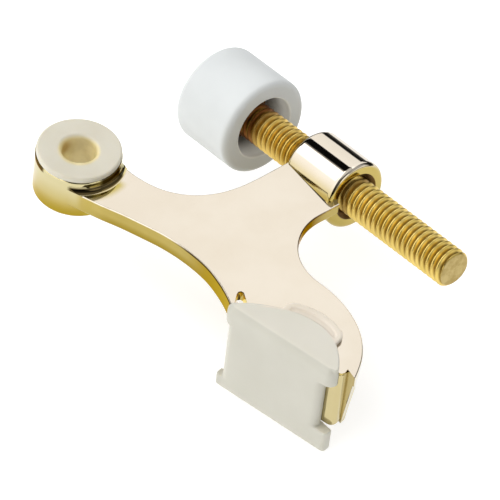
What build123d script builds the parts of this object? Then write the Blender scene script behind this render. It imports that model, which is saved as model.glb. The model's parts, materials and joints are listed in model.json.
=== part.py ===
from math import cos, pi, radians, sin, sqrt
import os

from build123d import *

# Hinge-pin door stop.  Millimetres.  +Z runs up along the hinge-pin bore, the
# adjusting rod lies in the YZ plane at x = ROD_X with its bumper toward +Y.

# ---------------------------------------------------------------- hinge ring
RING_R = 8.5            # outside of the ring
RING_TOP = 0.0
RING_BOTTOM = -9.17
RING_EDGE = 0.4
ROOT_R = 1.2            # hollow blend between the ring and the plate's top
SLEEVE_R = 5.3          # bush sleeve and the hole it is pressed into
BUSH_FLANGE_R = 8.33
BUSH_FLANGE_H = 1.1
BUSH_BORE_R = 3.5       # clears a 1/4 in hinge pin
BUSH_RIM = 0.9
BUSH_FOOT = -9.45       # sleeve ends just below the ring

# --------------------------------------------------------------------- plate
PLATE_TOP = -2.27
PLATE_T = 2.4
LIP_BOTTOM = -6.15      # stiffening lip under the long outer edge
LIP_W = 2.0
PLATE_EDGE = 0.3

# ------------------------------------------------------------- barrel and rod
ROD_X = 39.4            # rod axis passes through (ROD_X, ROD_Y, ROD_Z)
ROD_Y = -24.4
ROD_Z = -5.69
ROD_TILT = 7.0          # free end (toward -Y) is raised by this many degrees
ROD_R = 3.95            # crests of a 5/16-18 thread
ROD_FREE = 41.3         # distances along the rod axis, + toward the free end
ROD_HEAD = -25.0
ROD_CHAMFER = 0.4
BARREL_R = 7.27
BARREL_A = -0.6
BARREL_B = 13.0
BARREL_RIM = 1.1
BARREL_BORE_R = 4.0
BARREL_SINK_R = 5.1

# -------------------------------------------------------------------- bumper
BUMPER_R = 10.3
BUMPER_A = -29.6        # striking end
BUMPER_B = -14.2        # open end
BUMPER_RIM_A = 1.4
BUMPER_RIM_B = 1.2
CUP_R = 6.65
CUP_FLOOR = -21.7
GROOVE_R = 7.6
GROOVE_END = -25.3
COLLAR_R = 7.52
COLLAR_A = -25.0
COLLAR_B = -22.0
COLLAR_HUB_R = 5.6
COLLAR_HUB_B = -20.2

# ------------------------------------------------------------------ foot, pad
FOOT_X = -0.29          # corner where the long edge meets the foot
FOOT_Y = -46.02
FOOT_A = -78.61         # heading of the foot's width, degrees from +X
FLANGE_T = 2.3
FLANGE_U0 = 1.6
FLANGE_U1 = 27.0
FLANGE_BOTTOM = -17.8
PAD_FRONT = -2.0
PAD_TOP = -1.1
PAD_BOTTOM = -22.9
PAD_BODY = (1.2, 24.0)
PAD_CAP = (0.2, 26.4)
PAD_SKIRT = -5.5
PAD_SOLE = (0.0, 26.6)
PAD_SOLE_CORNER = 0.9
PAD_SOLE_TOP = -20.2
PAD_HEEL_TOP = -18.0    # the sole's inner end rises to just below the flange
PAD_CORNER = 1.85       # rounded outer corners of the cap and the sole, in plan
PAD_BODY_CORNER = 1.5
TONGUE_TOP = -1.5
BEAD_TOP = -1.15

os.makedirs("parts", exist_ok=True)

# plan outline of the plate, one list per side
INNER_EDGE = [(6.45, -6.3), (6.5, -8.6), (7.02, -11.31), (8.3, -14.88),
              (10.45, -18.05), (13.54, -20.67), (17.17, -22.42), (21.29, -23.4),
              (25.4, -23.7), (29.8, -23.72), (33.4, -23.7)]
OUTER_EDGE = [(33.0, -38.35), (30.2, -38.33), (27.71, -38.4), (25.5, -38.85),
              (23.27, -39.81), (20.52, -41.9), (18.6, -44.4), (17.5, -47.4),
              (17.2, -50.4), (17.5, -53.4), (17.62, -56.4), (17.3, -59.6),
              (16.6, -62.6), (15.53, -65.42), (13.89, -68.22), (12.2, -70.29),
              (10.26, -72.04), (8.06, -73.59), (6.56, -74.5)]
LONG_EDGE = [(-6.71, -5.2), (-5.74, -7.68), (-4.95, -9.83), (-4.18, -11.9),
             (-2.47, -15.86), (-1.3, -19.0), (-0.2, -22.07), (0.6, -24.5),
             (1.2, -26.9), (1.66, -29.3), (1.95, -31.8), (2.1, -34.3),
             (2.0, -37.2), (1.55, -40.0), (0.72, -43.3), (-0.29, -46.02)]

ua = radians(FOOT_A)
U = (cos(ua), sin(ua))
W = (-sin(ua), cos(ua))


def foot_xy(u, w):
    return (FOOT_X + u * U[0] + w * W[0], FOOT_Y + u * U[1] + w * W[1])


FOOT = Plane(origin=(FOOT_X, FOOT_Y, 0), x_dir=(U[0], U[1], 0), z_dir=(0, 0, 1))

# relief notch at the left end of the foot, then the front line of the flange
FRONT_EDGE = [foot_xy(u, w) for u, w in
              [(0.0, 0.0), (0.62, 0.7), (-0.45, 2.75), (-0.62, 3.45),
               (-0.3, 3.95), (0.3, 4.0), (2.3, 2.45), (2.3, 0.0)]]
RIGHT_FRONT = [foot_xy(u, w) for u, w in
               [(26.0, 0.0), (26.72, 0.3), (27.0, 1.0), (26.85, 2.0),
                (29.29, 1.03)]]


def plan_face(z):
    with BuildPart() as holder:
        with BuildSketch(Plane.XY.offset(z)) as sk:
            with BuildLine():
                Spline(*INNER_EDGE)
                Polyline(INNER_EDGE[-1], (36.5, -23.7), (36.5, -38.35), OUTER_EDGE[0])
                Spline(*OUTER_EDGE)
                Polyline(OUTER_EDGE[-1], RIGHT_FRONT[4], RIGHT_FRONT[3])
                Polyline(RIGHT_FRONT[3], RIGHT_FRONT[2], RIGHT_FRONT[1],
                         RIGHT_FRONT[0], FRONT_EDGE[7])
                Polyline(FRONT_EDGE[7], FRONT_EDGE[6], FRONT_EDGE[5], FRONT_EDGE[4],
                         FRONT_EDGE[3], FRONT_EDGE[2], FRONT_EDGE[1], FRONT_EDGE[0])
                Spline(*reversed(LONG_EDGE))
                Polyline(LONG_EDGE[0], (0.0, 0.0), INNER_EDGE[0])
            make_face()
    return sk.sketch


def prism(z0, z1):
    return extrude(plan_face(z0), amount=z1 - z0, dir=(0, 0, 1))


plate = prism(PLATE_TOP - PLATE_T, PLATE_TOP)
for z in (PLATE_TOP, PLATE_TOP - PLATE_T):
    for near in (INNER_EDGE[5], OUTER_EDGE[9], LONG_EDGE[9]):
        curve = [e for e in plate.edges()
                 if e.geom_type != GeomType.LINE and e.length > 15.0
                 and e.distance_to(Vector(near[0], near[1], z)) < 0.05]
        plate = fillet(curve[:1], PLATE_EDGE)

# stiffening lip: a band along the inside of the long edge
band = []
n = len(LONG_EDGE)
for i in range(n):
    a = LONG_EDGE[max(i - 1, 0)]
    b = LONG_EDGE[min(i + 1, n - 1)]
    dx, dy = b[0] - a[0], b[1] - a[1]
    k = sqrt(dx * dx + dy * dy)
    band.append((LONG_EDGE[i][0] - dy / k * LIP_W, LONG_EDGE[i][1] + dx / k * LIP_W))
with BuildPart() as lip_part:
    with BuildSketch(Plane.XY.offset(LIP_BOTTOM)):
        with BuildLine():
            Spline(*LONG_EDGE)
            Line(LONG_EDGE[-1], band[-1])
            Spline(*reversed(band))
            Line(band[0], LONG_EDGE[0])
        make_face()
    extrude(amount=PLATE_TOP - 1.0 - LIP_BOTTOM)
    outer = [e for e in lip_part.edges().group_by(Axis.Z)[0]
             if e.distance_to(Vector(LONG_EDGE[9][0], LONG_EDGE[9][1], LIP_BOTTOM)) < 0.05]
    fillet(outer[:1], PLATE_EDGE)
lip = lip_part.part

# ring
ring = Pos(0, 0, (RING_TOP + RING_BOTTOM) / 2) * Cylinder(RING_R, RING_TOP - RING_BOTTOM)
ring = fillet(ring.edges().filter_by(GeomType.CIRCLE), RING_EDGE)

# barrel, along the rod axis
tr = radians(ROD_TILT)
ROD_DIR = (0.0, -cos(tr), sin(tr))
ROD_PLANE = Plane(origin=(ROD_X, ROD_Y, ROD_Z), x_dir=(1, 0, 0), z_dir=ROD_DIR)


def turned(profile):
    """Solid of revolution about the rod axis; profile is (radius, distance) pairs."""
    with BuildPart() as p:
        with BuildSketch(Plane.XZ):
            with BuildLine():
                Polyline(*[(r, t) for r, t in profile], close=True)
            make_face()
        revolve(axis=Axis.Z)
    return ROD_PLANE.location * p.part


def rod_cylinder(r, a, b):
    return ROD_PLANE.location * (Pos(0, 0, (a + b) / 2) * Cylinder(r, b - a))


barrel = Pos(0, 0, (BARREL_A + BARREL_B) / 2) * Cylinder(BARREL_R, BARREL_B - BARREL_A)
barrel = ROD_PLANE.location * fillet(barrel.edges().filter_by(GeomType.CIRCLE), BARREL_RIM)

# down-turned foot flange with rounded lower corners
with BuildPart() as flange_part:
    with BuildSketch(Plane(origin=(*foot_xy(0, 0), 0), x_dir=(U[0], U[1], 0),
                           z_dir=(-W[0], -W[1], 0))):
        with BuildLine():
            Polyline((FLANGE_U0, PLATE_TOP - 0.6), (FLANGE_U1, PLATE_TOP - 0.6),
                     (FLANGE_U1, FLANGE_BOTTOM), (FLANGE_U0, FLANGE_BOTTOM), close=True)
        make_face()
    extrude(amount=-FLANGE_T)
flange = flange_part.part
low = flange.edges().filter_by(Axis((0, 0, 0), (W[0], W[1], 0))).group_by(Axis.Z)[0]
flange = fillet(low, 2.0)
right_edge = flange.edges().filter_by(Axis.Z).sort_by(
    lambda e: (e.center().X - FOOT_X) * (U[0] - W[0]) + (e.center().Y - FOOT_Y) * (U[1] - W[1]))[-1]
flange = fillet(right_edge, 1.0)

# tapering web between the flange's right end and the plate
gx, gy = foot_xy(26.85, 2.0)
hx, hy = foot_xy(29.29, 1.03)
gl = sqrt((hx - gx) ** 2 + (hy - gy) ** 2)
gd = ((hx - gx) / gl, (hy - gy) / gl)
with BuildPart() as web_part:
    with BuildSketch(Plane(origin=(gx, gy, 0), x_dir=(gd[0], gd[1], 0),
                           z_dir=(gd[1], -gd[0], 0))):
        with BuildLine():
            Polyline((-1.6, PLATE_TOP - 0.6), (gl + 0.1, PLATE_TOP - 0.6),
                     (0.25, -17.2), (-1.6, -17.2), close=True)
        make_face()
    extrude(amount=1.2, dir=(W[0], W[1], 0))
web = web_part.part & prism(-20.0, PLATE_TOP - 0.5)

# hollow blend where the ring rises from the plate
with BuildPart() as root_part:
    with BuildSketch(Plane.XZ):
        with BuildLine():
            low, high = PLATE_TOP + 0.02, PLATE_TOP + ROOT_R + 0.02
            near, far = RING_R + 0.02, RING_R + ROOT_R + 0.02
            k = ROOT_R * (1 - sqrt(0.5))
            ThreePointArc((near, high), (near + k, low + k), (far, low))
            Polyline((far, low), (far, PLATE_TOP - 0.3), (RING_R - 0.4, PLATE_TOP - 0.3),
                     (RING_R - 0.4, high), (near, high))
        make_face()
    revolve(axis=Axis.Z)
root = root_part.part & prism(PLATE_TOP - 0.3, PLATE_TOP + ROOT_R + 0.1)

bracket = plate + lip + ring + root + barrel + flange + web
bore = rod_cylinder(BARREL_BORE_R, BARREL_A - 3, BARREL_B + 3)
sink_b = turned([(0, BARREL_B - (BARREL_SINK_R - BARREL_BORE_R)),
                 (BARREL_BORE_R, BARREL_B - (BARREL_SINK_R - BARREL_BORE_R)),
                 (BARREL_SINK_R + 0.5, BARREL_B + 0.5), (BARREL_SINK_R + 0.5, BARREL_B + 3),
                 (0, BARREL_B + 3)])
sink_a = turned([(0, BARREL_A + (BARREL_SINK_R - BARREL_BORE_R)),
                 (BARREL_BORE_R, BARREL_A + (BARREL_SINK_R - BARREL_BORE_R)),
                 (BARREL_SINK_R + 0.5, BARREL_A - 0.5), (BARREL_SINK_R + 0.5, BARREL_A - 3),
                 (0, BARREL_A - 3)])
hole = Pos(0, 0, -4.5) * Cylinder(SLEEVE_R, 14.0)
bracket = bracket - bore - sink_b - sink_a - hole

# ------------------------------------------------------------ hinge-pin bush
with BuildPart() as bush_part:
    with BuildSketch(Plane.XZ):
        with BuildLine():
            Polyline((BUSH_BORE_R, BUSH_FOOT), (SLEEVE_R - 0.3, BUSH_FOOT),
                     (SLEEVE_R, BUSH_FOOT + 0.3), (SLEEVE_R, RING_TOP),
                     (BUSH_FLANGE_R, RING_TOP), (BUSH_FLANGE_R, BUSH_FLANGE_H),
                     (BUSH_BORE_R, BUSH_FLANGE_H), close=True)
        make_face()
    revolve(axis=Axis.Z)
    top = bush_part.edges().filter_by(GeomType.CIRCLE).group_by(Axis.Z)[-1].sort_by(SortBy.RADIUS)
    fillet(top[-1], 0.45)
    top = bush_part.edges().filter_by(GeomType.CIRCLE).group_by(Axis.Z)[-1].sort_by(SortBy.RADIUS)
    fillet(top[0], BUSH_RIM)
bush = bush_part.part

# ------------------------------------------------------------ rod and collar
rod = turned([(0, ROD_HEAD), (ROD_R, ROD_HEAD), (ROD_R, ROD_FREE - ROD_CHAMFER),
              (ROD_R - ROD_CHAMFER, ROD_FREE), (0, ROD_FREE)])
collar = turned([(ROD_R, COLLAR_A), (COLLAR_R - 0.3, COLLAR_A), (COLLAR_R, COLLAR_A + 0.3),
                 (COLLAR_R, COLLAR_B - 0.3), (COLLAR_R - 0.3, COLLAR_B),
                 (COLLAR_HUB_R, COLLAR_B), (COLLAR_HUB_R, COLLAR_HUB_B - 0.3),
                 (COLLAR_HUB_R - 0.3, COLLAR_HUB_B), (ROD_R, COLLAR_HUB_B)])

# --------------------------------------------------------------------- bumper
with BuildPart() as bumper_part:
    with BuildSketch(Plane.XZ):
        with BuildLine():
            Polyline((0, BUMPER_A), (BUMPER_R, BUMPER_A), (BUMPER_R, BUMPER_B),
                     (CUP_R, BUMPER_B), (CUP_R, CUP_FLOOR), (GROOVE_R, CUP_FLOOR),
                     (GROOVE_R, GROOVE_END), (0, GROOVE_END), close=True)
        make_face()
    revolve(axis=Axis.Z)
    rims = bumper_part.edges().filter_by(GeomType.CIRCLE)
    fillet([e for e in rims if abs(e.radius - BUMPER_R) < 0.01 and abs(e.center().Z - BUMPER_A) < 0.01],
           BUMPER_RIM_A)
    rims = bumper_part.edges().filter_by(GeomType.CIRCLE)
    fillet([e for e in rims if abs(e.radius - BUMPER_R) < 0.01 and abs(e.center().Z - BUMPER_B) < 0.01],
           BUMPER_RIM_B)
    rims = bumper_part.edges().filter_by(GeomType.CIRCLE)
    fillet([e for e in rims if abs(e.radius - CUP_R) < 0.01 and abs(e.center().Z - BUMPER_B) < 0.01],
           0.45)
bumper = ROD_PLANE.location * bumper_part.part

# ------------------------------------------------------------------------ pad
def foot_box(u0, u1, w0, w1, z0, z1):
    return FOOT.location * (Pos((u0 + u1) / 2, (w0 + w1) / 2, (z0 + z1) / 2)
                            * Box(u1 - u0, w1 - w0, z1 - z0))


def foot_bar(u0, u1, corner, z0, z1):
    """Bar along the front of the foot, its two outer vertical edges rounded."""
    with BuildPart() as bar:
        with BuildSketch(FOOT.offset(z0)):
            with BuildLine():
                Line((u0, 0.0), (u0, PAD_FRONT + corner))
                RadiusArc((u0, PAD_FRONT + corner), (u0 + corner, PAD_FRONT), -corner)
                Line((u0 + corner, PAD_FRONT), (u1 - corner, PAD_FRONT))
                RadiusArc((u1 - corner, PAD_FRONT), (u1, PAD_FRONT + corner), -corner)
                Polyline((u1, PAD_FRONT + corner), (u1, 0.0), (u0, 0.0))
            make_face()
        extrude(amount=z1 - z0)
    return bar.part


slab = foot_bar(PAD_BODY[0], PAD_BODY[1], PAD_BODY_CORNER, PAD_BOTTOM, PAD_TOP)
skirt = foot_bar(PAD_CAP[0], PAD_CAP[1], PAD_CORNER, PAD_SKIRT, PAD_TOP)
sole = foot_bar(PAD_SOLE[0], PAD_SOLE[1], PAD_SOLE_CORNER, PAD_BOTTOM, PAD_SOLE_TOP)
heel = foot_bar(PAD_BODY[1] - 3.0, PAD_SOLE[1], PAD_SOLE_CORNER, PAD_BOTTOM, PAD_HEEL_TOP)
front = slab + skirt + sole + heel
# rounded upper front edge
edge = [e for e in front.edges() if abs(e.center().Z - PAD_TOP) < 0.01
        and e.geom_type == GeomType.LINE and e.length > 18.0]
edge = sorted(edge, key=lambda e: (e.center().X - FOOT_X) * W[0] + (e.center().Y - FOOT_Y) * W[1])
front = fillet(edge[0], 1.6)

# cap lying on the plate: D-shaped, with a thin beaded tongue reaching inward
CAP_ARC = [(0.2, -0.2), (0.9, -0.35), (2.05, 0.75), (3.5, 2.0), (5.05, 3.07), (8.51, 4.95),
           (12.06, 6.11), (15.4, 6.52), (19.22, 6.05), (21.5, 5.0), (23.53, 3.3),
           (25.19, 1.43), (26.3, -0.3)]
with BuildPart() as cap_part:
    with BuildSketch(FOOT.offset(PLATE_TOP)):
        with BuildLine():
            Spline(*CAP_ARC[1:])
            Polyline(CAP_ARC[-1], (PAD_CAP[1] - 0.3, -0.9), (PAD_CAP[0] + 0.6, -0.9), CAP_ARC[1])
        make_face()
    extrude(amount=PAD_TOP - PLATE_TOP)
cap = cap_part.part


def tongue_shape(inset, top):
    a = inset
    with BuildPart() as t:
        with BuildSketch(FOOT.offset(PLATE_TOP)):
            with BuildLine():
                Polyline((8.7 + a, 3.0), (8.7 + a, 6.3))
                RadiusArc((8.7 + a, 6.3), (10.2 + a * 0.5, 8.15 - a), 2.0)
                ThreePointArc((10.2 + a * 0.5, 8.15 - a), (15.2, 9.25 - a), (20.0 - a * 0.4, 8.35 - a))
                RadiusArc((20.0 - a * 0.4, 8.35 - a), (21.7 - a, 6.3), 2.2)
                Polyline((21.7 - a, 6.3), (21.7 - a, 3.0), (8.7 + a, 3.0))
            make_face()
        extrude(amount=top - PLATE_TOP)
    return t.part


tongue = tongue_shape(0.0, BEAD_TOP) - (Pos(0, 0, TONGUE_TOP - PLATE_TOP) * tongue_shape(1.1, BEAD_TOP + 1))
# hook that passes under the flange and grips it from behind
hook = (foot_box(5.0, 21.0, -0.5, FLANGE_T + 1.3, PAD_BOTTOM, FLANGE_BOTTOM - 0.05)
        + foot_box(20.0, PAD_SOLE[1], -0.5, 1.2, PAD_BOTTOM, PAD_HEEL_TOP)
        + foot_box(5.0, 21.0, FLANGE_T + 0.05, FLANGE_T + 1.3, PAD_BOTTOM, FLANGE_BOTTOM + 1.8))
pad = front + cap + tongue + hook

for name, shape in (("bracket", bracket), ("hinge_pin_bush", bush),
                    ("adjusting_rod", rod), ("bumper_collar", collar),
                    ("rubber_bumper", bumper), ("foot_pad", pad)):
    shape.label = name
    export_step(shape, "parts/" + name + ".step")
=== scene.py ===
import json
from math import atan2, cos, floor, pi, radians, sin

import bmesh
import bpy
from mathutils import Matrix, Vector


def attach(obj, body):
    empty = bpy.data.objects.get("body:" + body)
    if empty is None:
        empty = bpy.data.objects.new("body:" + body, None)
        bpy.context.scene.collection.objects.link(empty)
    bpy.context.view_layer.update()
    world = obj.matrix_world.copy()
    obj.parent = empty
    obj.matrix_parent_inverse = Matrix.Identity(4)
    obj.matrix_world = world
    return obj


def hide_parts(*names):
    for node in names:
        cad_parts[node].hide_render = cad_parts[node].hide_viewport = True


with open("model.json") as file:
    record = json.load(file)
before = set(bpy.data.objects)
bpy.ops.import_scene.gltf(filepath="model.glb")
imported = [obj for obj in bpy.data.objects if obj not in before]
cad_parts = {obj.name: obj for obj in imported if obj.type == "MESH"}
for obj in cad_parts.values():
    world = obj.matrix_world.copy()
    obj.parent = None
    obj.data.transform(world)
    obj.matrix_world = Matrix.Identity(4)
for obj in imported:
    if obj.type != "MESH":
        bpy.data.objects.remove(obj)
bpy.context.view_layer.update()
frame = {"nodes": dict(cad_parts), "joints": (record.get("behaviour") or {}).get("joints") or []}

MM = 0.001
nodes = frame["nodes"]
joints = {j["name"]: j for j in frame["joints"]}

# ------------------------------------------------------------------ camera
# Seen from -X -Y and above.  K is the frame in which the camera looks along +Y.
PHI = radians(-45.61)
ELEV = radians(45.763)
ROLL = radians(7.547)
TO_ROW = Matrix.Rotation(PHI, 3, "Z")
right = Vector((1, 0, 0))
up = Vector((0, sin(ELEV), cos(ELEV)))
back = Vector((0, -cos(ELEV), sin(ELEV)))
right_c = right * cos(ROLL) + up * sin(ROLL)
up_c = up * cos(ROLL) - right * sin(ROLL)
spot = right * 35.2 - up * 14.36 + back * 978.7
cam_data = bpy.data.cameras.new("camera")
cam_data.sensor_fit = "HORIZONTAL"
cam_data.sensor_width = 36.0
cam_data.lens = 5.18 * 978.7 * 36.0 / 500.0
cam_data.clip_start = 0.05
cam_data.clip_end = 20.0
cam_data.dof.use_dof = False
cam = bpy.data.objects.new("camera", cam_data)
bpy.context.scene.collection.objects.link(cam)
cols = [TO_ROW @ right_c, TO_ROW @ up_c, TO_ROW @ back]
rot = Matrix((cols[0], cols[1], cols[2])).transposed()
cam.matrix_world = Matrix.Translation(TO_ROW @ spot * MM) @ rot.to_4x4()
bpy.context.scene.camera = cam


# ------------------------------------------------------------------ node help
def new_material(name):
    m = bpy.data.materials.new(name)
    m.use_nodes = True
    m.node_tree.nodes.clear()
    return m


class Graph:
    """Small helper to write node trees."""

    def __init__(self, tree):
        self.t = tree

    def node(self, kind, **values):
        n = self.t.nodes.new(kind)
        for k, v in values.items():
            if hasattr(n, k):
                setattr(n, k, v)
        return n

    def link(self, a, b):
        self.t.links.new(a, b)

    def math(self, op, a, b=None, c=None, clamp=False):
        n = self.t.nodes.new("ShaderNodeMath")
        n.operation = op
        n.use_clamp = clamp
        for i, v in enumerate((a, b, c)):
            if v is None:
                continue
            if isinstance(v, (int, float)):
                n.inputs[i].default_value = v
            else:
                self.link(v, n.inputs[i])
        return n.outputs[0]

    def ramp(self, x, lo, hi, a=0.0, b=1.0, smooth=True):
        n = self.t.nodes.new("ShaderNodeMapRange")
        n.interpolation_type = "SMOOTHSTEP" if smooth else "LINEAR"
        n.clamp = True
        self.link(x, n.inputs["Value"])
        n.inputs["From Min"].default_value = lo
        n.inputs["From Max"].default_value = hi
        n.inputs["To Min"].default_value = a
        n.inputs["To Max"].default_value = b
        return n.outputs["Result"]

    def mix(self, fac, a, b):
        n = self.t.nodes.new("ShaderNodeMix")
        n.data_type = "RGBA"
        if isinstance(fac, (int, float)):
            n.inputs[0].default_value = fac
        else:
            self.link(fac, n.inputs[0])
        for i, v in ((6, a), (7, b)):
            if isinstance(v, tuple):
                n.inputs[i].default_value = (*v, 1.0)
            else:
                self.link(v, n.inputs[i])
        return n.outputs[2]

    def noise(self, vec, scale, detail=3.0, rough=0.5, distortion=0.0):
        n = self.t.nodes.new("ShaderNodeTexNoise")
        self.link(vec, n.inputs["Vector"])
        n.inputs["Scale"].default_value = scale
        n.inputs["Detail"].default_value = detail
        n.inputs["Roughness"].default_value = rough
        n.inputs["Distortion"].default_value = distortion
        return n.outputs["Fac"]

    def bump(self, height, strength, distance, normal=None):
        n = self.t.nodes.new("ShaderNodeBump")
        n.inputs["Strength"].default_value = strength
        n.inputs["Distance"].default_value = distance
        self.link(height, n.inputs["Height"])
        if normal is not None:
            self.link(normal, n.inputs["Normal"])
        return n.outputs["Normal"]


def principled(m):
    g = Graph(m.node_tree)
    out = g.node("ShaderNodeOutputMaterial")
    bsdf = g.node("ShaderNodeBsdfPrincipled")
    g.link(bsdf.outputs[0], out.inputs["Surface"])
    coord = g.node("ShaderNodeTexCoord")
    return g, bsdf, coord.outputs["Object"]


# ------------------------------------------------------------------ materials
TILT = radians(7.0)
ROD_DIR = Vector((0, -cos(TILT), sin(TILT)))
ROD_POINT = Vector((39.4, -24.4, -5.69))


def polished_brass():
    """Bright brass plating over a polished casting: clean, slightly wavy, with faint wiping marks. Its colour also
    carries painted shade, highlights and reflections.
    """
    m = new_material("polished_brass")
    g, b, pos = principled(m)
    geo = g.node("ShaderNodeNewGeometry")
    sep = g.node("ShaderNodeSeparateXYZ")
    g.link(geo.outputs["Normal"], sep.inputs[0])
    facing_up = g.ramp(sep.outputs["Z"], 0.30, 0.78)
    at = g.node("ShaderNodeSeparateXYZ")
    g.link(pos, at.inputs[0])
    x, y, z = at.outputs[0], at.outputs[1], at.outputs[2]
    cloud = g.noise(pos, 90.0, 3.0, 0.5)
    tone = g.ramp(cloud, 0.3, 0.7)
    deep = g.mix(tone, (0.44, 0.34, 0.088), (0.51, 0.395, 0.115))
    def span(v, lo, hi, soft):
        """1 inside lo..hi, with soft shoulders."""
        return g.math("MULTIPLY", g.ramp(v, lo - soft, lo + soft), g.ramp(v, hi - soft, hi + soft, 1.0, 0.0))

    def both(*masks):
        out = masks[0]
        for k in masks[1:]:
            out = g.math("MULTIPLY", out, k)
        return out

    # painted reflections: the ring is paler high up and deeper low down, where it reflects the shaded floor; the lower
    # foot and the web get paler painted tones
    from_axis = g.math("SQRT", g.math("ADD", g.math("MULTIPLY", x, x), g.math("MULTIPLY", y, y)))
    on_ring = g.ramp(from_axis, 0.0089, 0.0100, 1.0, 0.0)
    high = both(on_ring, g.ramp(z, -0.0075, -0.0012))
    deep = g.mix(g.math("MULTIPLY", high, 0.85), deep, (0.63, 0.57, 0.34))
    low = both(on_ring, g.ramp(z, -0.0088, -0.0050, 1.0, 0.0))
    deep = g.mix(g.math("MULTIPLY", low, 0.85), deep, (0.35, 0.245, 0.012))
    foot = both(g.ramp(y, -0.0700, -0.0660, 1.0, 0.0), g.ramp(z, -0.0030, -0.0024, 1.0, 0.0))
    deep = g.mix(g.math("MULTIPLY", foot, 0.9), deep, (0.55, 0.47, 0.255))
    web = both(g.ramp(y, -0.0727, -0.0721, 1.0, 0.0), g.ramp(x, 0.0054, 0.0060))
    deep = g.mix(g.math("MULTIPLY", web, 0.9), deep, (0.72, 0.67, 0.52))
    # painted shade: the long edge darkens toward its lower side
    strip = both(span(y, -0.0480, -0.0120, 0.003), g.ramp(x, 0.010, 0.014, 1.0, 0.0), g.ramp(z, -0.0058, -0.0038, 1.0, 0.0))
    deep = g.mix(g.math("MULTIPLY", strip, 0.85), deep, (0.31, 0.215, 0.022))
    # painted shade: a deeper tone on the plate's edge near the foot
    heel = both(span(y, -0.0500, -0.0330, 0.004), g.ramp(x, 0.004, 0.008, 1.0, 0.0), g.ramp(z, -0.0070, -0.0066))
    deep = g.mix(g.math("MULTIPLY", heel, 0.85), deep, (0.335, 0.225, 0.022))
    # painted highlight: the notch is painted pale
    notch = both(span(y, -0.0480, -0.0432, 0.0004), span(x, 0.0022, 0.0060, 0.0004))
    deep = g.mix(g.math("MULTIPLY", notch, 0.9), deep, (0.92, 0.83, 0.50))
    # painted shade: the bay on the plate's top is painted dark
    bay = both(span(y, -0.0480, -0.0340, 0.002), span(x, 0.0185, 0.0285, 0.003), g.ramp(z, -0.0026, -0.0023, 1.0, 0.0))
    deep = g.mix(g.math("MULTIPLY", bay, 0.85), deep, (0.17, 0.085, 0.012))
    # the painted lightening of up-facing faces is kept off the ring's hollow root and rounded rim, which keep the deep
    # tone
    root = both(g.ramp(from_axis, 0.0098, 0.0100, 1.0, 0.0), g.ramp(z, -0.00226, -0.00220))
    facing_up = g.math("MULTIPLY", facing_up, g.math("SUBTRACT", 1.0, root))
    turn = g.math("MULTIPLY", g.math("ARCTAN2", y, x), 180.0 / pi)
    # painted dark reflections: the dark crescents on the ring's wall and rim
    dark_reflection = both(span(turn, -142.0, -92.0, 3.0), g.ramp(z, -0.0015, -0.0010, 1.0, 0.0))
    dark_reflection = g.math("MAXIMUM", dark_reflection, span(turn, -98.0, -60.0, 4.0))
    arc = both(span(turn, 142.0, 177.0, 3.0), g.ramp(z, -0.0011, -0.0009))
    dark_reflection = g.math("MAXIMUM", dark_reflection, arc)
    dark_reflection = both(dark_reflection, g.ramp(from_axis, 0.00975, 0.0099, 1.0, 0.0), g.ramp(z, -0.00226, -0.00218))
    deep = g.mix(g.math("MULTIPLY", dark_reflection, 0.93), deep, (0.050, 0.030, 0.006))
    # painted dark reflection lines where the plate's rounded edge turns under, by the foot and in the bay
    brow = g.math("MULTIPLY", span(z, -0.0026, -0.0023, 0.00003), 0.95)
    brow_foot = both(brow, span(y, -0.0480, -0.0290, 0.003), g.ramp(x, 0.007, 0.009, 1.0, 0.0))
    brow_bay = both(brow, span(y, -0.0480, -0.0340, 0.002), span(x, 0.0185, 0.0300, 0.003))
    # painted shade in the barrel's countersink, which is also made rougher
    rel = g.node("ShaderNodeVectorMath")
    rel.operation = "SUBTRACT"
    g.link(pos, rel.inputs[0])
    rel.inputs[1].default_value = ROD_POINT * MM
    off = g.node("ShaderNodeVectorMath")
    off.operation = "CROSS_PRODUCT"
    g.link(rel.outputs[0], off.inputs[0])
    off.inputs[1].default_value = ROD_DIR
    size = g.node("ShaderNodeVectorMath")
    size.operation = "LENGTH"
    g.link(off.outputs[0], size.inputs[0])
    sunk = g.ramp(size.outputs["Value"], 0.00500, 0.00518, 1.0, 0.0)
    pale = g.mix(tone, (0.605, 0.54, 0.445), (0.63, 0.57, 0.48))
    # painted light: faces turned up get the paler tone, steeper faces the deeper one
    coat = g.mix(facing_up, deep, pale)
    # painted reflection: an olive band on the plate around the ring's base
    halo = both(span(turn, -118.0, -72.0, 6.0), g.ramp(from_axis, 0.0098, 0.0118, 1.0, 0.0), g.ramp(z, -0.00222, -0.00226))
    coat = g.mix(g.math("MULTIPLY", halo, 0.9), coat, (0.42, 0.33, 0.05))
    coat = g.mix(brow_foot, coat, (0.05, 0.03, 0.006))
    coat = g.mix(brow_bay, coat, (0.10, 0.05, 0.01))
    g.link(g.mix(sunk, coat, (0.20, 0.11, 0.025)), b.inputs["Base Color"])
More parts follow.
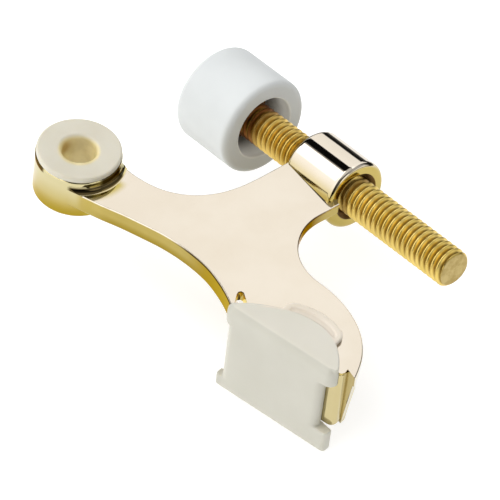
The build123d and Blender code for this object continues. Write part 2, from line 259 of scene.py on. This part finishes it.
    # the specular tint carries the painted shade and reflections: warmer on the heel, the low ring and the strip,
    # darker in the dark reflections and the bay
    rich = g.math("MAXIMUM", heel, g.math("MULTIPLY", g.math("MAXIMUM", low, strip), 0.6))
    sheen = g.mix(rich, (1.0, 1.0, 1.0), (1.0, 0.86, 0.45))
    sheen = g.mix(g.math("MAXIMUM", dark_reflection, g.math("MULTIPLY", bay, 0.9)), sheen, (0.72, 0.48, 0.16))
    g.link(sheen, b.inputs["Specular Tint"])
    b.inputs["Metallic"].default_value = 1.0
    fine = g.noise(pos, 900.0, 4.0, 0.6)
    gloss = g.ramp(fine, 0.25, 0.75, 0.035, 0.075, False)
    g.link(g.math("ADD", gloss, g.math("MULTIPLY", sunk, 0.38)), b.inputs["Roughness"])
    wavy = g.noise(pos, 160.0, 2.0, 0.45)
    nrm = g.bump(wavy, 0.22, 0.00010)
    nrm = g.bump(fine, 0.06, 0.00001, nrm)
    g.link(nrm, b.inputs["Normal"])
    return m


def brass_rod():
    """Uncoated turned brass: satin, with fine tool lines, warmer toward the bumper, with painted shade where it runs
    into the bumper's cup.
    """
    m = new_material("brass_rod")
    g, b, pos = principled(m)
    along = g.node("ShaderNodeVectorMath")
    along.operation = "DOT_PRODUCT"
    g.link(pos, along.inputs[0])
    along.inputs[1].default_value = ROD_DIR
    start = ROD_DIR.dot(ROD_POINT) * MM
    t = g.math("SUBTRACT", along.outputs["Value"], start)
    cloud = g.noise(pos, 220.0, 4.0, 0.55)
    tone = g.ramp(cloud, 0.3, 0.7)
    gold = g.mix(tone, (0.72, 0.53, 0.135), (0.86, 0.645, 0.20))
    warm = g.mix(tone, (0.68, 0.475, 0.12), (0.80, 0.57, 0.165))
    gold = g.mix(g.ramp(t, -0.006, 0.006, 1.0, 0.0), gold, warm)
    # painted shade where the rod runs into the bumper's cup
    cup_shade = g.mix(tone, (0.12, 0.042, 0.010), (0.18, 0.07, 0.018))
    body = g.mix(g.ramp(t, -0.0150, -0.0108, 1.0, 0.0), gold, cup_shade)
    # painted shadow where the rod leaves the barrel
    exit_ = g.math("MULTIPLY", g.ramp(t, 0.0118, 0.0128), g.ramp(t, 0.0134, 0.0152, 1.0, 0.0))
    body = g.mix(g.math("MULTIPLY", exit_, 0.75), body, (0.16, 0.075, 0.016))
    # painted shade in the thread's grooves
    rel = g.node("ShaderNodeVectorMath")
    rel.operation = "SUBTRACT"
    g.link(pos, rel.inputs[0])
    rel.inputs[1].default_value = ROD_POINT * MM
    off = g.node("ShaderNodeVectorMath")
    off.operation = "CROSS_PRODUCT"
    g.link(rel.outputs[0], off.inputs[0])
    off.inputs[1].default_value = ROD_DIR
    size = g.node("ShaderNodeVectorMath")
    size.operation = "LENGTH"
    g.link(off.outputs[0], size.inputs[0])
    groove = g.ramp(size.outputs["Value"], 0.00322, 0.00368, 0.85, 0.0)
    body = g.mix(groove, body, (0.20, 0.115, 0.018))
    # sawn end: paler and greyer
    grain = g.noise(pos, 500.0, 5.0, 0.65)
    end = g.mix(g.ramp(grain, 0.35, 0.65), (0.355, 0.26, 0.085), (0.48, 0.37, 0.15))
    g.link(g.mix(g.ramp(t, 0.04120, 0.04126), body, end), b.inputs["Base Color"])
    b.inputs["Metallic"].default_value = 1.0
    fine = g.noise(pos, 2600.0, 3.0, 0.6)
    g.link(g.ramp(fine, 0.25, 0.75, 0.27, 0.38, False), b.inputs["Roughness"])
    g.link(g.bump(fine, 0.03, 0.00001), b.inputs["Normal"])
    return m


def white_nylon():
    m = new_material("white_nylon")
    g, b, pos = principled(m)
    cloud = g.noise(pos, 120.0, 3.0, 0.5)
    ivory = g.mix(g.ramp(cloud, 0.3, 0.7), (0.65, 0.61, 0.495), (0.685, 0.65, 0.54))
    at = g.node("ShaderNodeSeparateXYZ")
    g.link(pos, at.inputs[0])
    x, y = at.outputs[0], at.outputs[1]
    radius = g.math("SQRT", g.math("ADD", g.math("MULTIPLY", x, x), g.math("MULTIPLY", y, y)))
    far = g.math("ADD", g.math("MULTIPLY", x, 0.086), g.math("MULTIPLY", y, 0.084))
    # painted light: the bore is painted amber and glows faintly, standing in for light that soaks through the wall; a
    # darker spot sits on its far side
    bore = g.ramp(g.math("ADD", radius, far), 0.0037, 0.0044, 1.0, 0.0)
    glow_mottle = g.noise(pos, 260.0, 3.0, 0.55)
    amber = g.mix(g.ramp(glow_mottle, 0.35, 0.65), (0.66, 0.565, 0.29), (0.78, 0.69, 0.40))
    spot = g.node("ShaderNodeVectorMath")
    spot.operation = "DISTANCE"
    g.link(pos, spot.inputs[0])
    spot.inputs[1].default_value = TO_ROW @ Vector((-2.9, 1.96, -1.2)) * MM
    amber = g.mix(g.ramp(spot.outputs["Value"], 0.0004, 0.0022, 0.85, 0.0), amber, (0.40, 0.24, 0.05))
    g.link(g.mix(bore, ivory, amber), b.inputs["Base Color"])
    b.inputs["Emission Color"].default_value = (1.0, 0.80, 0.36, 1.0)
    g.link(g.math("MULTIPLY", bore, g.ramp(glow_mottle, 0.3, 0.7, 0.02, 0.05)), b.inputs["Emission Strength"])
    b.inputs["Subsurface Weight"].default_value = 0.25
    b.inputs["Subsurface Radius"].default_value = (1.0, 0.8, 0.5)
    b.inputs["Subsurface Scale"].default_value = 0.0015
    fine = g.noise(pos, 1400.0, 3.0, 0.5)
    g.link(g.ramp(fine, 0.25, 0.75, 0.34, 0.46, False), b.inputs["Roughness"])
    g.link(g.bump(fine, 0.15, 0.00003), b.inputs["Normal"])
    return m


def white_rubber():
    m = new_material("white_rubber")
    g, b, pos = principled(m)
    cloud = g.noise(pos, 80.0, 3.0, 0.5)
    white = g.mix(g.ramp(cloud, 0.3, 0.7), (0.675, 0.70, 0.70), (0.715, 0.74, 0.74))
    along = g.node("ShaderNodeVectorMath")
    along.operation = "DOT_PRODUCT"
    g.link(pos, along.inputs[0])
    along.inputs[1].default_value = ROD_DIR
    t = g.math("SUBTRACT", along.outputs["Value"], ROD_DIR.dot(ROD_POINT) * MM)
    at = g.node("ShaderNodeSeparateXYZ")
    g.link(pos, at.inputs[0])
    # painted shade: the open end is darker, most of all low down, and the underside is darker too
    mouth = g.math("MULTIPLY", g.ramp(t, -0.0162, -0.0143), g.ramp(at.outputs[2], -0.019, 0.004, 0.75, 0.10))
    under = g.ramp(at.outputs[2], -0.019, -0.008, 0.35, 0.0)
    g.link(g.mix(g.math("MAXIMUM", mouth, under), white, (0.27, 0.255, 0.19)), b.inputs["Base Color"])
    # painted glow: the cup's inner wall glows faintly, standing in for light soaking through it
    rel = g.node("ShaderNodeVectorMath")
    rel.operation = "SUBTRACT"
    g.link(pos, rel.inputs[0])
    rel.inputs[1].default_value = ROD_POINT * MM
    off = g.node("ShaderNodeVectorMath")
    off.operation = "CROSS_PRODUCT"
    g.link(rel.outputs[0], off.inputs[0])
    off.inputs[1].default_value = ROD_DIR
    size = g.node("ShaderNodeVectorMath")
    size.operation = "LENGTH"
    g.link(off.outputs[0], size.inputs[0])
    wall = g.math("MULTIPLY", g.ramp(size.outputs["Value"], 0.00675, 0.0071, 1.0, 0.0), g.ramp(t, -0.0210, -0.0155))
    b.inputs["Emission Color"].default_value = (1.0, 0.96, 0.84, 1.0)
    g.link(g.math("MULTIPLY", wall, g.ramp(cloud, 0.3, 0.7, 0.15, 0.20)), b.inputs["Emission Strength"])
    grain = g.noise(pos, 2200.0, 4.0, 0.6)
    g.link(g.ramp(grain, 0.25, 0.75, 0.52, 0.66, False), b.inputs["Roughness"])
    g.link(g.bump(grain, 0.30, 0.00004), b.inputs["Normal"])
    return m


def milky_plastic():
    m = new_material("milky_plastic")
    g, b, pos = principled(m)
    cloud = g.noise(pos, 60.0, 3.0, 0.5)
    tone = g.ramp(cloud, 0.3, 0.7)
    front = g.mix(tone, (0.55, 0.535, 0.46), (0.585, 0.57, 0.495))
    top = g.mix(tone, (0.675, 0.65, 0.56), (0.71, 0.68, 0.595))
    thin = g.mix(tone, (0.745, 0.665, 0.555), (0.78, 0.70, 0.59))
    geo = g.node("ShaderNodeNewGeometry")
    sep = g.node("ShaderNodeSeparateXYZ")
    g.link(geo.outputs["Normal"], sep.inputs[0])

    def foot_axis(v):
        d = g.node("ShaderNodeVectorMath")
        d.operation = "DOT_PRODUCT"
        g.link(pos, d.inputs[0])
        d.inputs[1].default_value = v
        o = Vector((-0.29, -46.02, 0)) * MM
        return g.math("SUBTRACT", d.outputs["Value"], o.dot(v))

    u = foot_axis(Vector((cos(radians(-78.61)), sin(radians(-78.61)), 0)))
    w = foot_axis(Vector((cos(radians(11.39)), sin(radians(11.39)), 0)))
    # the tongue beyond the cap's bowed edge is thin, and the brass warms it
    bow = g.math("SUBTRACT", u, 0.0152)
    reach = g.math("SUBTRACT", 0.0065, g.math("MULTIPLY", g.math("MULTIPLY", bow, bow), 45.0))
    tongue = g.ramp(g.math("SUBTRACT", w, reach), -0.0003, 0.0004)
    tongue = g.math("MULTIPLY", tongue, g.ramp(u, 0.0050, 0.0065))
    tongue = g.math("MULTIPLY", tongue, g.ramp(u, 0.0242, 0.0250, 1.0, 0.0))
    # painted light: faces turned up get the paler top tone, the rest the darker front tone
    colour = g.mix(g.ramp(sep.outputs["Z"], 0.80, 1.0), front, top)
    # painted shade at the pad's end where u starts
    end = g.ramp(u, 0.0004, 0.0022, 0.55, 0.0)
    colour = g.mix(tongue, colour, thin)
    g.link(g.mix(end, colour, (0.42, 0.41, 0.36)), b.inputs["Base Color"])
    b.inputs["Subsurface Weight"].default_value = 0.4
    b.inputs["Subsurface Radius"].default_value = (1.0, 1.0, 0.9)
    b.inputs["Subsurface Scale"].default_value = 0.0018
    fine = g.noise(pos, 1800.0, 3.0, 0.5)
    g.link(g.ramp(fine, 0.25, 0.75, 0.38, 0.50, False), b.inputs["Roughness"])
    wavy = g.noise(pos, 130.0, 2.0, 0.5)
    nrm = g.bump(wavy, 0.20, 0.0001)
    g.link(g.bump(fine, 0.12, 0.00003, nrm), b.inputs["Normal"])
    return m


MAT = {"bracket": polished_brass(), "rod": brass_rod(), "bush": white_nylon(),
       "bumper": white_rubber(), "pad": milky_plastic()}


def dress(obj, material):
    obj.data.materials.clear()
    obj.data.materials.append(material)


for n, k in (("bracket", "bracket"), ("hinge_pin_bush", "bush"), ("adjusting_rod", "rod"),
             ("bumper_collar", "rod"), ("rubber_bumper", "bumper"), ("foot_pad", "pad")):
    o = nodes[n]
    for s in o.material_slots:
        s.material = MAT[k]
    if not o.material_slots:
        o.data.materials.append(MAT[k])


# ------------------------------------------------------------------ threaded rod
PITCH = 25.4 / 18
R_CREST, R_ROOT = 3.95, 3.18
T0, T1 = -25.0, 41.3


def rod_matrix():
    z = ROD_DIR.normalized()
    x = Vector((1, 0, 0))
    y = z.cross(x)
    return Matrix((x, y, z)).transposed().to_4x4()


def thread_radius(phase):
    """Rounded trapezoid: crest at 0, root at half a pitch."""
    p = phase - floor(phase)
    d = abs(p - 0.5) * 2.0          # 1 at the crest, 0 at the root
    lo, hi = 0.06, 0.90
    k = (d - lo) / (hi - lo)
    k = min(max(k, 0.0), 1.0)
    soft = k * k * (3 - 2 * k)
    k = 0.55 * k + 0.45 * soft
    return R_ROOT + (R_CREST - R_ROOT) * k


def threaded_rod():
    seg = 80
    step = PITCH / 14
    rows = int((T1 - T0) / step)
    bm = bmesh.new()
    grid = []
    for i in range(rows + 1):
        t = T0 + (T1 - T0) * i / rows
        ring = []
        for j in range(seg):
            a = 2 * pi * j / seg
            r = thread_radius(t / PITCH - a / (2 * pi))
            r = min(r, 3.42 + (T1 - t) * 0.95)
            r = min(r, 3.55 + (t - T0) * 0.9)
            ring.append(bm.verts.new((r * cos(a), r * sin(a), t)))
        grid.append(ring)
    for i in range(rows):
        for j in range(seg):
            k = (j + 1) % seg
            bm.faces.new((grid[i][j], grid[i][k], grid[i + 1][k], grid[i + 1][j]))
    for ring, t, sign in ((grid[0], T0, -1), (grid[-1], T1, 1)):
        prev = ring
        for f, dz in ((0.96, 0.0), (0.62, 0.012), (0.3, 0.02)):
            nxt = [bm.verts.new((v.co.x * f, v.co.y * f, t - sign * dz)) for v in ring]
            for j in range(seg):
                k = (j + 1) % seg
                q = (prev[j], prev[k], nxt[k], nxt[j])
                bm.faces.new(q if sign > 0 else tuple(reversed(q)))
            prev = nxt
        mid = bm.verts.new((0, 0, t - sign * 0.02))
        for j in range(seg):
            k = (j + 1) % seg
            q = (prev[j], prev[k], mid)
            bm.faces.new(q if sign > 0 else tuple(reversed(q)))
    bm.normal_update()
    place = Matrix.Translation(ROD_POINT) @ rod_matrix()
    bm.transform(Matrix.Scale(MM, 4) @ place)
    me = bpy.data.meshes.new("threaded_rod")
    bm.to_mesh(me)
    bm.free()
    me.polygons.foreach_set("use_smooth", [True] * len(me.polygons))
    o = bpy.data.objects.new("threaded_rod", me)
    bpy.context.scene.collection.objects.link(o)
    me.set_sharp_from_angle(angle=radians(50))
    dress(o, MAT["rod"])
    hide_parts("adjusting_rod")
    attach(o, "rod_body")
    return o


threaded_rod()

# ------------------------------------------------------------------ soft pad
FOOT_TURN = Matrix.Rotation(radians(78.61), 4, "Z")


def evaluated(obj):
    dg = bpy.context.evaluated_depsgraph_get()
    dg.update()
    return bpy.data.meshes.new_from_object(obj.evaluated_get(dg))


def soft_pad():
    """The pad with every moulded edge softened."""
    me = nodes["foot_pad"].data.copy()
    me.transform(FOOT_TURN)
    corner = FOOT_TURN @ (Vector((-0.29, -46.02, 0)) * MM)
    for v in me.vertices:
        u, w = v.co.x - corner.x, v.co.y - corner.y
        if u > 0.025 and w > 0.0001 and v.co.z < -0.0175:
            v.co.y = corner.y + 0.0001
    tmp = bpy.data.objects.new("pad_work", me)
    bpy.context.scene.collection.objects.link(tmp)
    r = tmp.modifiers.new("remesh", "REMESH")
    r.mode = "VOXEL"
    r.voxel_size = 0.0002
    r.use_smooth_shade = True
    k = tmp.modifiers.new("smooth", "SMOOTH")
    k.factor = 0.5
    k.iterations = 7
    out = evaluated(tmp)
    bpy.data.objects.remove(tmp)
    out.transform(FOOT_TURN.inverted())
    out.name = "soft_pad"
    o = bpy.data.objects.new("soft_pad", out)
    bpy.context.scene.collection.objects.link(o)
    dress(o, MAT["pad"])
    out.polygons.foreach_set("use_smooth", [True] * len(out.polygons))
    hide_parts("foot_pad")
    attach(o, "bracket_body")
    return o


soft_pad()

# ------------------------------------------------------------------ floor
FLOOR_Z = -0.0236
bm = bmesh.new()
n = 24
R = 3.0
bmesh.ops.create_circle(bm, cap_ends=True, segments=64, radius=R)
me = bpy.data.meshes.new("studio_floor")
bm.to_mesh(me)
bm.free()
floor_obj = bpy.data.objects.new("studio_floor", me)
floor_obj.location = (0.02, -0.03, FLOOR_Z)
bpy.context.scene.collection.objects.link(floor_obj)
m = new_material("studio_floor")
g, b, pos = principled(m)
fl = g.noise(pos, 6.0, 2.0, 0.5)
behind = g.node("ShaderNodeVectorMath")
behind.operation = "DOT_PRODUCT"
g.link(pos, behind.inputs[0])
behind.inputs[1].default_value = TO_ROW @ Vector((0, 1, 0))
sheet = g.ramp(behind.outputs["Value"], 0.13, 0.20, 1.0, 0.0)
near_tone = g.mix(g.ramp(fl, 0.3, 0.7), (0.60, 0.60, 0.60), (0.63, 0.63, 0.63))
g.link(g.mix(sheet, (0.04, 0.04, 0.04), near_tone), b.inputs["Base Color"])
b.inputs["Roughness"].default_value = 0.9
b.inputs["Specular IOR Level"].default_value = 0.1
b.inputs["Emission Color"].default_value = (1.0, 1.0, 1.0, 1.0)
g.link(g.math("MULTIPLY", sheet, 0.62), b.inputs["Emission Strength"])
dress(floor_obj, m)

# ------------------------------------------------------------------ light
world = bpy.data.worlds.new("studio")
bpy.context.scene.world = world
world.use_nodes = True
wt = world.node_tree
wt.nodes.clear()
g = Graph(wt)
out = g.node("ShaderNodeOutputWorld")
bg = g.node("ShaderNodeBackground")
g.link(bg.outputs[0], out.inputs[0])
tc = g.node("ShaderNodeTexCoord")
direction = tc.outputs["Generated"]


def dot(v):
    """Cosine of the angle between the looked-at direction and v, given in K."""
    w = (TO_ROW @ Vector(v)).normalized()
    n = wt.nodes.new("ShaderNodeVectorMath")
    n.operation = "DOT_PRODUCT"
    g.link(direction, n.inputs[0])
    n.inputs[1].default_value = w
    return n.outputs["Value"]


height = dot((0, 0, 1))
rear = dot((0, 1, 0))
side = dot((1, 0, 0))
# two large pale panels, behind and on the left, part at a plane through the rod's direction
axis = Vector((0.709, -0.694, 0.122)).normalized()
centre = Vector((-0.381, 0.563, 0.732)).normalized()
across = dot(axis.cross(centre).normalized())
panel_back = g.math("MULTIPLY", g.ramp(across, -0.225, -0.205, 1.0, 0.0), g.ramp(rear, 0.03, 0.12))
panel_back = g.math("MULTIPLY", panel_back, g.ramp(height, 0.17, 0.23))
panel_back = g.math("MULTIPLY", panel_back, g.ramp(side, 0.50, 0.58, 1.0, 0.0))
panel_left = g.math("MULTIPLY", g.ramp(across, 0.155, 0.175), g.ramp(side, -0.30, -0.18, 1.0, 0.0))
panel_left = g.math("MULTIPLY", panel_left, g.ramp(height, 0.0, 0.05))
shine = g.ramp(dot((-0.68, 0.31, 0.665)), 0.945, 0.985)
top_light = g.ramp(height, 0.82, 0.95)
fill = g.math("MULTIPLY", g.ramp(side, 0.35, 0.6), g.ramp(height, 0.02, 0.08))
fill = g.math("MULTIPLY", fill, g.ramp(height, 0.34, 0.42, 1.0, 0.0))
fill = g.math("MULTIPLY", fill, g.ramp(rear, 0.2, 0.4, 1.0, 0.0))
patch = g.ramp(dot((0.678, -0.602, 0.424)), 0.968, 0.986)
gap = g.math("MULTIPLY", g.ramp(across, -0.225, -0.20), g.ramp(across, 0.15, 0.175, 1.0, 0.0))
gap = g.math("MULTIPLY", gap, g.ramp(rear, 0.0, 0.15))
level = g.math("MULTIPLY", panel_back, 1.30)
level = g.math("ADD", level, g.math("MULTIPLY", panel_left, 1.55))
level = g.math("ADD", level, g.math("MULTIPLY", patch, 1.3))
level = g.math("ADD", level, g.math("MULTIPLY", shine, 1.5))
level = g.math("ADD", level, g.math("MULTIPLY", top_light, 0.75))
level = g.math("ADD", level, g.math("MULTIPLY", fill, 0.7))
base = g.ramp(height, 0.15, 0.9, 0.012, 0.16)
base = g.math("MULTIPLY", base, g.math("SUBTRACT", 1.0, g.math("MULTIPLY", gap, 0.97)))
level = g.math("ADD", level, base)
# a dim wall far to the right keeps the plate from going black when seen from behind
wall = g.ramp(dot((0.866, 0.01, 0.5)), 0.80, 0.97)
level = g.math("ADD", level, g.math("MULTIPLY", wall, 0.45))
g.link(level, bg.inputs["Strength"])
bg.inputs["Color"].default_value = (1.0, 1.0, 1.0, 1.0)


bpy.context.scene.view_settings.view_transform = "Standard"
bpy.context.scene.view_settings.look = "None"
bpy.context.scene.view_settings.exposure = 0.0
